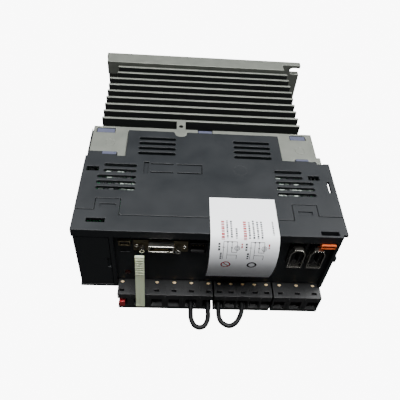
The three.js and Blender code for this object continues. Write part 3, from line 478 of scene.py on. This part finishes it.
def add_rod(bm, centre, axis, radius, length, sides=20, ease=0.1 * MM, tip=None):
    """A round bar about a point; tip is the radius at its far end, if it tapers."""
    made = bmesh.ops.create_cone(bm, cap_ends=True, segments=sides, radius1=radius,
                                 radius2=radius if tip is None else tip, depth=length)["verts"]
    around = {e for v in made for e in v.link_edges}
    rims = [e for e in around if len(e.link_faces[0].verts) != len(e.link_faces[1].verts)]
    turned = Vector(axis).to_track_quat("Z", "Y").to_matrix()
    bmesh.ops.rotate(bm, matrix=turned, verts=made)
    bmesh.ops.translate(bm, vec=centre, verts=made)
    bmesh.ops.bevel(bm, geom=rims, offset=ease, offset_type="OFFSET", segments=2, profile=0.5,
                    affect="EDGES", material=-1)


def add_ring(bm, centre, axis, radius, thick, sides=36):
    """A raised ring: a small section spun once round."""
    start = bmesh.ops.create_circle(bm, segments=8, radius=thick)["verts"]
    bmesh.ops.rotate(bm, matrix=Matrix.Rotation(math.pi / 2, 3, "X"), verts=start)
    bmesh.ops.translate(bm, vec=(radius, 0, 0), verts=start)
    loop = list({e for v in start for e in v.link_edges})
    bmesh.ops.spin(bm, geom=start + loop, cent=(0, 0, 0), axis=(0, 0, 1), angle=math.tau, steps=sides,
                   use_merge=True)
    ring = list({v for v in bm.verts if abs(math.hypot(v.co.x, v.co.y) - radius) < 1.01 * thick
                 and abs(v.co.z) < 1.01 * thick})
    bmesh.ops.remove_doubles(bm, verts=ring, dist=0.001 * MM)
    ring = [v for v in ring if v.is_valid]
    turned = Vector(axis).to_track_quat("Z", "Y").to_matrix()
    bmesh.ops.rotate(bm, matrix=turned, verts=ring)
    bmesh.ops.translate(bm, vec=centre, verts=ring)
    bmesh.ops.recalc_face_normals(bm, faces=bm.faces)


# %% [markdown]
# The paper label is a strip 41.7 mm wide. It is stuck to the top, leaves the front edge in an easy
# bow, because stiff paper won't crease by itself, and curls back below. Its line is given by a few
# points; a row of vertices swept across its width makes the sheet.

# %% Paper label
PAPER = 0.12 * MM
LABEL_LEFT = LEFT + 83.2 * MM
LABEL_WIDTH = 41.7 * MM
LABEL_LINE = [
    (29, 0.35), (14, 0.35), (1.2, 0.35), (-1.2, -0.1), (-3.2, -1.3), (-5.4, -3.9), (-7.2, -7.8),
    (-8.3, -12.6), (-8.6, -18.2), (-8, -24), (-6.7, -30), (-4.9, -35.6), (-3, -40.4),
]  # behind the front face and above the top, in millimetres
label_line = catmull_rom([Vector((0, FRONT + y * MM, TOP + z * MM)) for y, z in LABEL_LINE], 6)
steps = [(b - a).length for a, b in zip(label_line, label_line[1:])]
LABEL_LENGTH = sum(steps)


def on_label(u, v, lift):
    """The place u across and v along the strip, lifted off the paper."""
    i, rest = 0, v
    while i < len(steps) - 1 and rest > steps[i]:
        rest -= steps[i]
        i += 1
    a, b = label_line[i], label_line[i + 1]
    along = (b - a).normalized()
    out = Vector((0, along.z, -along.y))
    return a + along * rest + out * lift + Vector((LABEL_LEFT + u, 0, 0))


def label_strip(bm, u, v, lift, rows):
    """A strip of faces that lies on the paper, between two places across and two along."""
    last = None
    for row in range(rows + 1):
        place = v[0] + (v[1] - v[0]) * row / rows
        pair = [bm.verts.new(on_label(side, place, lift)) for side in u]
        if last:
            bm.faces.new((last[0], last[1], pair[1], pair[0]))
        last = pair


paper = bmesh.new()
label_strip(paper, (0, LABEL_WIDTH), (0, LABEL_LENGTH), 0.05 * MM, 60)
bmesh.ops.recalc_face_normals(paper, faces=paper.faces)
sheet_faces = list(paper.faces)
bmesh.ops.solidify(paper, geom=sheet_faces, thickness=PAPER)
label = store(paper, "paper_label_sheet", "root", label_stock, replaces=["paper_label"])
print("label", round(LABEL_WIDTH / MM, 1), "by", round(LABEL_LENGTH / MM, 1), "mm")

# %% [markdown]
# The print is only a stand-in: rows of short dashes where lines of words would be, two little
# circuit sketches and two round signs. It is laid on the paper as a film of ink, so that it bends
# with the paper. Nothing on it can be read.

# %% Label print
INK_LIFT = 0.09 * MM
ink_black = grained("black_printing_ink", "#26272c", "#36373d", 0.6, 0.5 * MM, 0.002 * MM)
ink_red = grained("red_printing_ink", "#b8242f", "#c43a42", 0.6, 0.5 * MM, 0.002 * MM)


def dashes(bm, u, v, width, dice):
    """A line of greeked words: short dashes of uneven length along v."""
    place = v[0]
    while place < v[1]:
        long = dice.uniform(0.6, 1.5) * MM
        label_strip(bm, (u, u + width), (place, min(place + long, v[1])), INK_LIFT, 2)
        place += long + dice.uniform(0.35, 0.6) * MM


def stroke(bm, u, v, width=0.28 * MM):
    """A straight line across (one v) or along (one u) the paper."""
    across = u if isinstance(u, tuple) else (u - width / 2, u + width / 2)
    along = v if isinstance(v, tuple) else (v - width / 2, v + width / 2)
    label_strip(bm, across, along, INK_LIFT, 6)


def round_sign(bm, u, v, radius, width, steps_round=28):
    """A ring of ink, made of short quads that follow the paper."""
    rims = []
    for i in range(steps_round):
        angle = math.tau * i / steps_round
        rims.append([bm.verts.new(on_label(u + r * math.cos(angle), v + r * math.sin(angle), INK_LIFT))
                     for r in (radius - width / 2, radius + width / 2)])
    for a, b in zip(rims, rims[1:] + rims[:1]):
        bm.faces.new((a[0], a[1], b[1], b[0]))


dice = random.Random(7)
black_film, red_film = bmesh.new(), bmesh.new()
for column in (9.6, 12.1, 15.1, 23.0, 25.6, 28.1, 30.6):
    start = {15.1: 24.5, 12.1: 18.8}.get(column, 18 + dice.uniform(0, 2))
    dashes(black_film, column * MM, (start * MM, 31.6 * MM), 1.15 * MM, dice)
dashes(black_film, 37.8 * MM, (18.5 * MM, 29 * MM), 0.9 * MM, dice)
for column in (6.6, 19.9):
    dashes(red_film, column * MM, (19 * MM, 32.4 * MM), 1.9 * MM, dice)
for side in (8.0, 24.4):
    def at(offset):
        return (side + offset) * MM
    for offset in (0, 2.4, 5.0, 8.2):
        stroke(black_film, at(offset), (33.6 * MM, (46 if offset < 5 else 40.5) * MM))
    for place, spread in ((33.6, (0, 8.2)), (40.5, (5.0, 8.2)), (42.6, (2.4, 8.2)), (37.2, (-0.8, 0.8))):
        stroke(black_film, (at(spread[0]), at(spread[1])), place * MM)
    stroke(black_film, at(8.2), (42.6 * MM, 46 * MM))
    round_sign(black_film, at(8.2), 37.6 * MM, 1.5 * MM, 0.3 * MM)
    round_sign(black_film, at(8.2), 37.6 * MM, 0.8 * MM, 0.25 * MM)
    for dot_u, dot_v in ((2.4, 33.8), (5.0, 33.8), (5.0, 37.4)):
        round_sign(black_film, at(dot_u), dot_v * MM, 0.28 * MM, 0.5 * MM, 10)
    dashes(black_film, at(-3.2), (34.5 * MM, 39.5 * MM), 1.2 * MM, dice)
    dashes(black_film, at(-1.9), (41 * MM, 46 * MM), 1.2 * MM, dice)
    dashes(red_film, at(10.6), (34.6 * MM, 37.8 * MM), 0.9 * MM, dice)
round_sign(red_film, 10.4 * MM, 51.5 * MM, 2.7 * MM, 0.75 * MM)
for i in range(9):
    share = (i + 0.5) / 9 - 0.5
    label_strip(red_film, ((10.4 + share * 3.6) * MM, (10.8 + share * 3.6) * MM),
                ((51.1 + share * 3.6) * MM, (51.9 + share * 3.6) * MM), INK_LIFT, 2)
round_sign(black_film, 26.6 * MM, 51.5 * MM, 2.5 * MM, 1.1 * MM)
for film in (black_film, red_film):
    bmesh.ops.solidify(film, geom=list(film.faces), thickness=0.015 * MM)
    bmesh.ops.recalc_face_normals(film, faces=film.faces)
black_print = store(black_film, "label_black_ink", "root", ink_black)
red_print = store(red_film, "label_red_ink", "root", ink_red)

# %% [markdown]
# Each pole of a terminal plug has three openings: the wire entry in front, a slot for the release
# tool on top, and a probe hole with a brass contact at its bottom. Thin ribs part the entries and
# frame each one, and inside sits the steel jaw that grips the wire.

# %% Terminal plug details
PLUG_TOP = supply_high.z
PROBE_BEHIND = 10 * MM
RIB_PROUD = 0.45 * MM
FREE_POLES = {"supply": [2, 3], "regen": [1, 3, 4], "motor": [0, 1, 2]}


def entry_frame(bm, x, half):
    """A raised frame round a wire entry, with its upper corners cut off."""
    low_z, high_z, corner, wall = 18.5 * MM, 27.5 * MM, 1.7 * MM, 0.42 * MM
    outline = [(-half, low_z), (half, low_z), (half, high_z - corner), (half - corner, high_z),
               (corner - half, high_z), (-half, high_z - corner)]
    corners = [bm.verts.new((x + u, PLUG_FRONT - RIB_PROUD, z)) for u, z in outline]
    face = bm.faces.new(corners)
    inset = bmesh.ops.inset_region(bm, faces=[face], thickness=wall, use_even_offset=True)["faces"]
    bmesh.ops.delete(bm, geom=[face], context="FACES_ONLY")
    bmesh.ops.solidify(bm, geom=inset, thickness=RIB_PROUD + 0.3 * MM)


for plug, places in poles.items():
    half_entry = min(3.7 * MM, (CONTROL_PITCH if plug == "regen" else POWER_PITCH) / 2 - 0.8 * MM)
    ribs, contacts, jaws = bmesh.new(), bmesh.new(), bmesh.new()
    for pole, x in enumerate(places):
        entry_frame(ribs, x, half_entry + 0.25 * MM)
        probe = (x, PLUG_FRONT + PROBE_BEHIND, PLUG_TOP - 0.45 * MM)
        add_rod(contacts, probe, (0, 0, 1), 0.85 * MM, 0.9 * MM)
        add_block(contacts, (x - 1.2 * MM, PLUG_FRONT + PROBE_BEHIND - 0.5 * MM, PLUG_TOP - 0.3 * MM),
                  (x + 1.2 * MM, PLUG_FRONT + PROBE_BEHIND + 0.5 * MM, PLUG_TOP + 0.16 * MM))
        if pole in FREE_POLES[plug]:
            add_block(jaws, (x - half_entry + 0.5 * MM, ENTRY_FLOOR - 1.6 * MM, 24.2 * MM),
                      (x + half_entry - 0.5 * MM, ENTRY_FLOOR - 1.1 * MM, 27.2 * MM))
    for a, b in zip(places, places[1:]):
        middle = (a + b) / 2
        add_block(ribs, (middle - 0.35 * MM, PLUG_FRONT + 1.2 * MM, PLUG_TOP - 0.1 * MM),
                  (middle + 0.35 * MM, PLUG_FRONT + 7.5 * MM, PLUG_TOP + 0.22 * MM), 0.08 * MM)
        add_block(ribs, (middle - 0.3 * MM, PLUG_FRONT - 0.35 * MM, 16 * MM),
                  (middle + 0.3 * MM, PLUG_FRONT + 0.2 * MM, 31.6 * MM), 0.1 * MM)
    bmesh.ops.recalc_face_normals(ribs, faces=ribs.faces)
    store(ribs, f"{plug}_plug_ribs", f"{plug}_plug", terminal_pbt)
    store(contacts, f"{plug}_probe_contacts", f"{plug}_plug", brass_with_painted_glint)
    store(jaws, f"{plug}_wire_jaws", f"{plug}_plug", spring_steel)
print("plug poles:", sum(len(v) for v in poles.values()))

# %% [markdown]
# The release lever is pressed by thumb, so its upper third has grip ribs, and two long grooves
# leave a spine down its face. It stands in the second pole and leans back a little.

# %% Release lever
lever_low, lever_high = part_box("release_lever")
lever = rounded(welded("release_lever"), 0.3 * MM)
store(lever, "ribbed_lever", "release_lever", lever_nylon, replaces=["release_lever"])
FOOT = Vector((0, PLUG_FRONT - 2.9 * MM, 24 * MM))
TIP = Vector((0, PLUG_FRONT + 4.2 * MM, 71 * MM))
lever_x = (lever_low.x + lever_high.x) / 2
LEVER_HALF = 0.95 * MM
lean = (TIP - FOOT).normalized()
face_out = Vector((0, -lean.z, lean.y))
grip = bmesh.new()


def lever_block(low_z, high_z, half_width, proud):
    """A block on the lever's front face, between two heights, leaning with it."""
    start = len(grip.verts)
    add_block(grip, (-half_width, -proud, 0), (half_width, 0.2 * MM, high_z - low_z), 0.12 * MM)
    grip.verts.ensure_lookup_table()
    made = grip.verts[start:]
    tilt = Vector((0, 0, 1)).rotation_difference(lean).to_matrix()
    bmesh.ops.rotate(grip, matrix=tilt, verts=made)
    foot = FOOT + lean * ((low_z - FOOT.z) / lean.z) + face_out * LEVER_HALF
    bmesh.ops.translate(grip, vec=foot + Vector((lever_x, 0, 0)), verts=made)


GRIP_RIBS = 7
GRIP_PITCH = 2.1
for i in range(GRIP_RIBS):
    lever_block((55.4 + i * GRIP_PITCH) * MM, (56.3 + i * GRIP_PITCH) * MM, 2.6 * MM, 0.45 * MM)
lever_block(26 * MM, 70.4 * MM, 0.6 * MM, 0.25 * MM)
store(grip, "lever_grip_ribs", "release_lever", lever_nylon)

# %% [markdown]
# Where the plastic hooks over the casting, a painted sheen stands for the light it catches: thin
# plates over the hooks, in a bluish grey.

# %% Painted sheen on the clips
SINK_TOP = TOP - 0.8 * MM
CLIP_TOP = SINK_TOP - 0.6 * MM
sheen_plates = bmesh.new()
CLIPS = [  # two places along X, two behind the casting's front face in millimetres, and the top
    (LEFT + 4.4 * MM, LEFT + 16.8 * MM, -2.5, 1.7, CLIP_TOP),
    (RIGHT - 23.4 * MM, RIGHT - 12.4 * MM, -2.5, 1.7, CLIP_TOP),
    (LEFT + 77.1 * MM, LEFT + 86.9 * MM, -2.2, 2.9, TOP - 1.0 * MM),
    (LEFT + 11 * MM, LEFT + 20.4 * MM, -26.6, -24.1, TOP),
    (RIGHT - 23 * MM, RIGHT - 14 * MM, -26.2, -24.5, TOP),
]
for x0, x1, y0, y1, z in CLIPS:
    add_block(sheen_plates, (x0, SINK_FRONT + y0 * MM, z - 0.5 * MM),
              (x1, SINK_FRONT + y1 * MM, z + 0.08 * MM), 0.07 * MM)
store(sheen_plates, "clip_sheen_plates", "root", clip_sheen_colour)

# %% [markdown]
# Ejector pins leave round marks on a casting, and a gate leaves one on a moulding. They are faint:
# a ring a third of a millimetre high on the casting, and half of that on the plastic.

# %% Ejector and gate marks
marks = bmesh.new()
for x, behind in ((LEFT + 14.9 * MM, -13.5), (RIGHT - 18.4 * MM, -14.5)):
    add_ring(marks, (x, SINK_FRONT + behind * MM, SINK_TOP), (0, 0, 1), 3.3 * MM, 0.22 * MM)
store(marks, "casting_ejector_rings", "root", casting_alloy)
gate = bmesh.new()
add_ring(gate, (RIGHT - 63 * MM, FRONT + 55 * MM, TOP - 0.1 * MM), (0, 0, 1), 4.6 * MM, 0.16 * MM)
store(gate, "moulding_gate_ring", "root", casing_abs)

# %% [markdown]
# Through the front vents the edge of the control board shows: green mask crowded with small
# parts. A loop sets chips, capacitors and pin rows on it, close under the vents.

# %% Control board
board_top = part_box("control_board")[1].z
board = rounded(welded("control_board"), 0.1 * MM)
store(board, "control_circuit_board", "root", board_mask, replaces=["control_board"])
dice = random.Random(12)
chips, ceramics, pins = bmesh.new(), bmesh.new(), bmesh.new()
VENT_START = 35
VENT_PITCH = 5.1
VENT_ROWS = 5
VENT_GROUPS = [(LEFT + 11 * MM, LEFT + 35 * MM), (RIGHT - 39 * MM, RIGHT - 15 * MM)]
for x0, x1 in VENT_GROUPS:
    for row in range(VENT_ROWS):
        y = FRONT + (VENT_START + row * VENT_PITCH) * MM
        x = x0
        while x < x1:
            wide = dice.uniform(1.2, 3.8) * MM
            target = dice.choice((chips, ceramics, ceramics, pins))
            z = board_top + dice.uniform(0.5, 3.2) * MM
            add_block(target, (x, y, board_top - 4 * MM), (x + wide, y + 2.2 * MM, z + 4 * MM), 0.15 * MM, 1)
            x += wide + dice.uniform(0.3, 1.2) * MM
store(chips, "board_chips", "root", epoxy)
store(ceramics, "board_ceramics", "root", ceramic)
store(pins, "board_pin_rows", "root", solder)

# %% [markdown]
# The motion socket is a half-pitch ribbon connector: a rolled shell round a tongue, with two rows
# of contacts so fine that they read as a comb. The others get their contacts in the same way.

# %% Contacts in the sockets
comb = bmesh.new()
motion_low, motion_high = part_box("motion_socket_contacts")
TEETH = 13
COMB_MARGIN = 2.4 * MM
tooth_pitch = (motion_high.x - motion_low.x - 2 * COMB_MARGIN) / (TEETH - 1)
for i in range(TEETH):
    x = motion_low.x + COMB_MARGIN + i * tooth_pitch
    for z in (motion_low.z + 0.55 * MM, motion_high.z - 0.55 * MM):
        add_block(comb, (x - 0.22 * MM, motion_low.y - 0.15 * MM, z - 0.3 * MM),
                  (x + 0.22 * MM, motion_low.y + 2 * MM, z + 0.3 * MM), 0.05 * MM, 1)
for number in (1, 2):
    low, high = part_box(f"encoder_socket_{number}_insert")
    for i in range(3):
        z = low.z + 5.2 * MM + i * 2 * MM
        for x in ((low.x + high.x) / 2 - 1.5 * MM, (low.x + high.x) / 2 + 1.5 * MM):
            add_block(comb, (x - 0.2 * MM, low.y + 0.6 * MM, z), (x + 0.2 * MM, low.y + 3 * MM, z + 0.8 * MM),
                      0.05 * MM, 1)
low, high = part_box("safety_socket")
for i in range(4):
    x = low.x + 2.2 * MM + i * 2.1 * MM
    add_rod(comb, (x, low.y + 2 * MM, high.z - 3 * MM), (0, -1, 0), 0.3 * MM, 2.4 * MM, 10, 0.08 * MM)
store(comb, "socket_contacts", "root", gilt)
# Below the shell its black housing shows, with the row of tails that goes down to the board.
housing, tails = bmesh.new(), bmesh.new()
shell_low, shell_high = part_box("motion_socket_shell")
mouth = (shell_low.x + 9.4 * MM, shell_high.x - 8.6 * MM)
add_block(housing, (mouth[0], shell_low.y + 2.2 * MM, shell_low.z + 0.9 * MM),
          (mouth[1], shell_high.y + 0.2 * MM, shell_low.z + 4.7 * MM), 0.6 * MM)
TAILS = 15
TAIL_MARGIN = 1.6 * MM
tail_pitch = (mouth[1] - mouth[0] - 2 * TAIL_MARGIN) / (TAILS - 1)
for i in range(TAILS):
    x = mouth[0] + TAIL_MARGIN + i * tail_pitch
    add_block(tails, (x - 0.2 * MM, shell_low.y + 2 * MM, shell_low.z + 2.6 * MM),
              (x + 0.2 * MM, shell_low.y + 2.6 * MM, shell_low.z + 3.3 * MM), 0.05 * MM, 1)
store(housing, "motion_socket_housing", "root", socket_pbt)
store(tails, "motion_socket_tails", "root", solder)
# Bright nickel bars round the shell's mouth are a painted highlight on its rolled edges.
SHELL_X = (shell_low.x + 10 * MM, shell_high.x - 9.2 * MM)
SHELL_Z = (shell_low.z + 5 * MM, shell_high.z - 0.6 * MM)
# These bars are painted highlight, in bright nickel over the darker shell.
highlight_bars = bmesh.new()
for z in SHELL_Z:
    add_block(highlight_bars, (SHELL_X[0] - 0.2 * MM, shell_low.y - 0.1 * MM, z - 0.55 * MM),
              (SHELL_X[1] + 0.2 * MM, shell_low.y + 4.2 * MM, z + 0.55 * MM), 0.3 * MM)
for x in SHELL_X:
    add_block(highlight_bars, (x - 0.5 * MM, shell_low.y - 0.1 * MM, SHELL_Z[0] - 0.4 * MM),
              (x + 0.5 * MM, shell_low.y + 4.2 * MM, SHELL_Z[1] + 0.4 * MM), 0.3 * MM)
store(highlight_bars, "motion_shell_painted_highlight", "root", nickel)
rivets = bmesh.new()
for x in (shell_low.x + 2 * MM, shell_high.x - 2 * MM):
    rivet = (x, shell_high.y - 1.2 * MM, (shell_low.z + shell_high.z) / 2)
    add_ring(rivets, rivet, (0, -1, 0), 1.1 * MM, 0.25 * MM, 20)
store(rivets, "motion_flange_rivets", "root", nickel)
tongue = bmesh.new()
usb_low, usb_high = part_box("usb_socket")
add_block(tongue, (usb_low.x + 1.5 * MM, usb_low.y + 0.9 * MM, usb_low.z + 1.5 * MM),
          (usb_high.x - 1.5 * MM, usb_low.y + 5 * MM, usb_low.z + 2.5 * MM))
for number in (1, 2):
    low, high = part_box(f"optical_socket_{number}")
    add_block(tongue, (low.x + 1.8 * MM, low.y + 0.5 * MM, low.z + 1.8 * MM),
              (high.x - 1.8 * MM, low.y + 1.1 * MM, high.z - 3.6 * MM), 0.2 * MM)
store(tongue, "socket_doors_and_tongue", "root", socket_pbt)

# %% [markdown]
# Light comes from two broad panels, high on either side and a little behind the drive, and one
# overhead, so that its top is bright and its front is not. The walls of a light tent fill in a
# little from all round. The floor is a dark card that glows white to the lens only.

# %% Floor and light
CARD_GLOW = 9
PANEL_POWER = 22
TENT_STRENGTH = 0.09
floor_mesh = bmesh.new()
bmesh.ops.create_grid(floor_mesh, x_segments=1, y_segments=1, size=6)
floor_data = bpy.data.meshes.new("white_card")
floor_mesh.to_mesh(floor_data)
floor_mesh.free()
floor = bpy.data.objects.new("white_card", floor_data)
bpy.context.scene.collection.objects.link(floor)
card, card_tree, card_shader = new_material("matt_white_card", "#2c2c2c", 0.9)
# Only rays from the camera see the glow. So the card looks white, yet it lights nothing, and the
# drive's front stays in its own shade.
card_shader.inputs["Emission Color"].default_value = linear("#ffffff")
ray = add_node(card_tree, "ShaderNodeLightPath")
glow = add_node(card_tree, "ShaderNodeMath", [(ray.outputs["Is Camera Ray"], 0)], operation="MULTIPLY")
glow.inputs[1].default_value = CARD_GLOW
card_tree.links.new(glow.outputs[0], card_shader.inputs["Emission Strength"])
floor_data.materials.append(card)


def panel(name, place, aim, size, power):
    light = bpy.data.lights.new(name, "AREA")
    light.shape = "DISK"
    light.size = size
    light.energy = power
    lamp = bpy.data.objects.new(name, light)
    bpy.context.scene.collection.objects.link(lamp)
    lamp.location = place
    lamp.rotation_mode = "QUATERNION"
    lamp.rotation_quaternion = (Vector(aim) - Vector(place)).to_track_quat("-Z", "Y")
    return lamp


for side in (-1, 1):
    panel(f"side_panel_{side + 1}", (side * 0.95, 0.35, 1.05), (0, 0, 0.05), 0.8, PANEL_POWER)
# A third panel overhead keeps the plugs and the lever from going black.
panel("top_panel", (0.05, -0.22, 1.2), (0, -0.05, 0.05), 0.6, PANEL_POWER)
world = bpy.data.worlds.new("tent")
bpy.context.scene.world = world
world.use_nodes = True
world.node_tree.nodes["Background"].inputs["Color"].default_value = linear("#ffffff")
world.node_tree.nodes["Background"].inputs["Strength"].default_value = TENT_STRENGTH
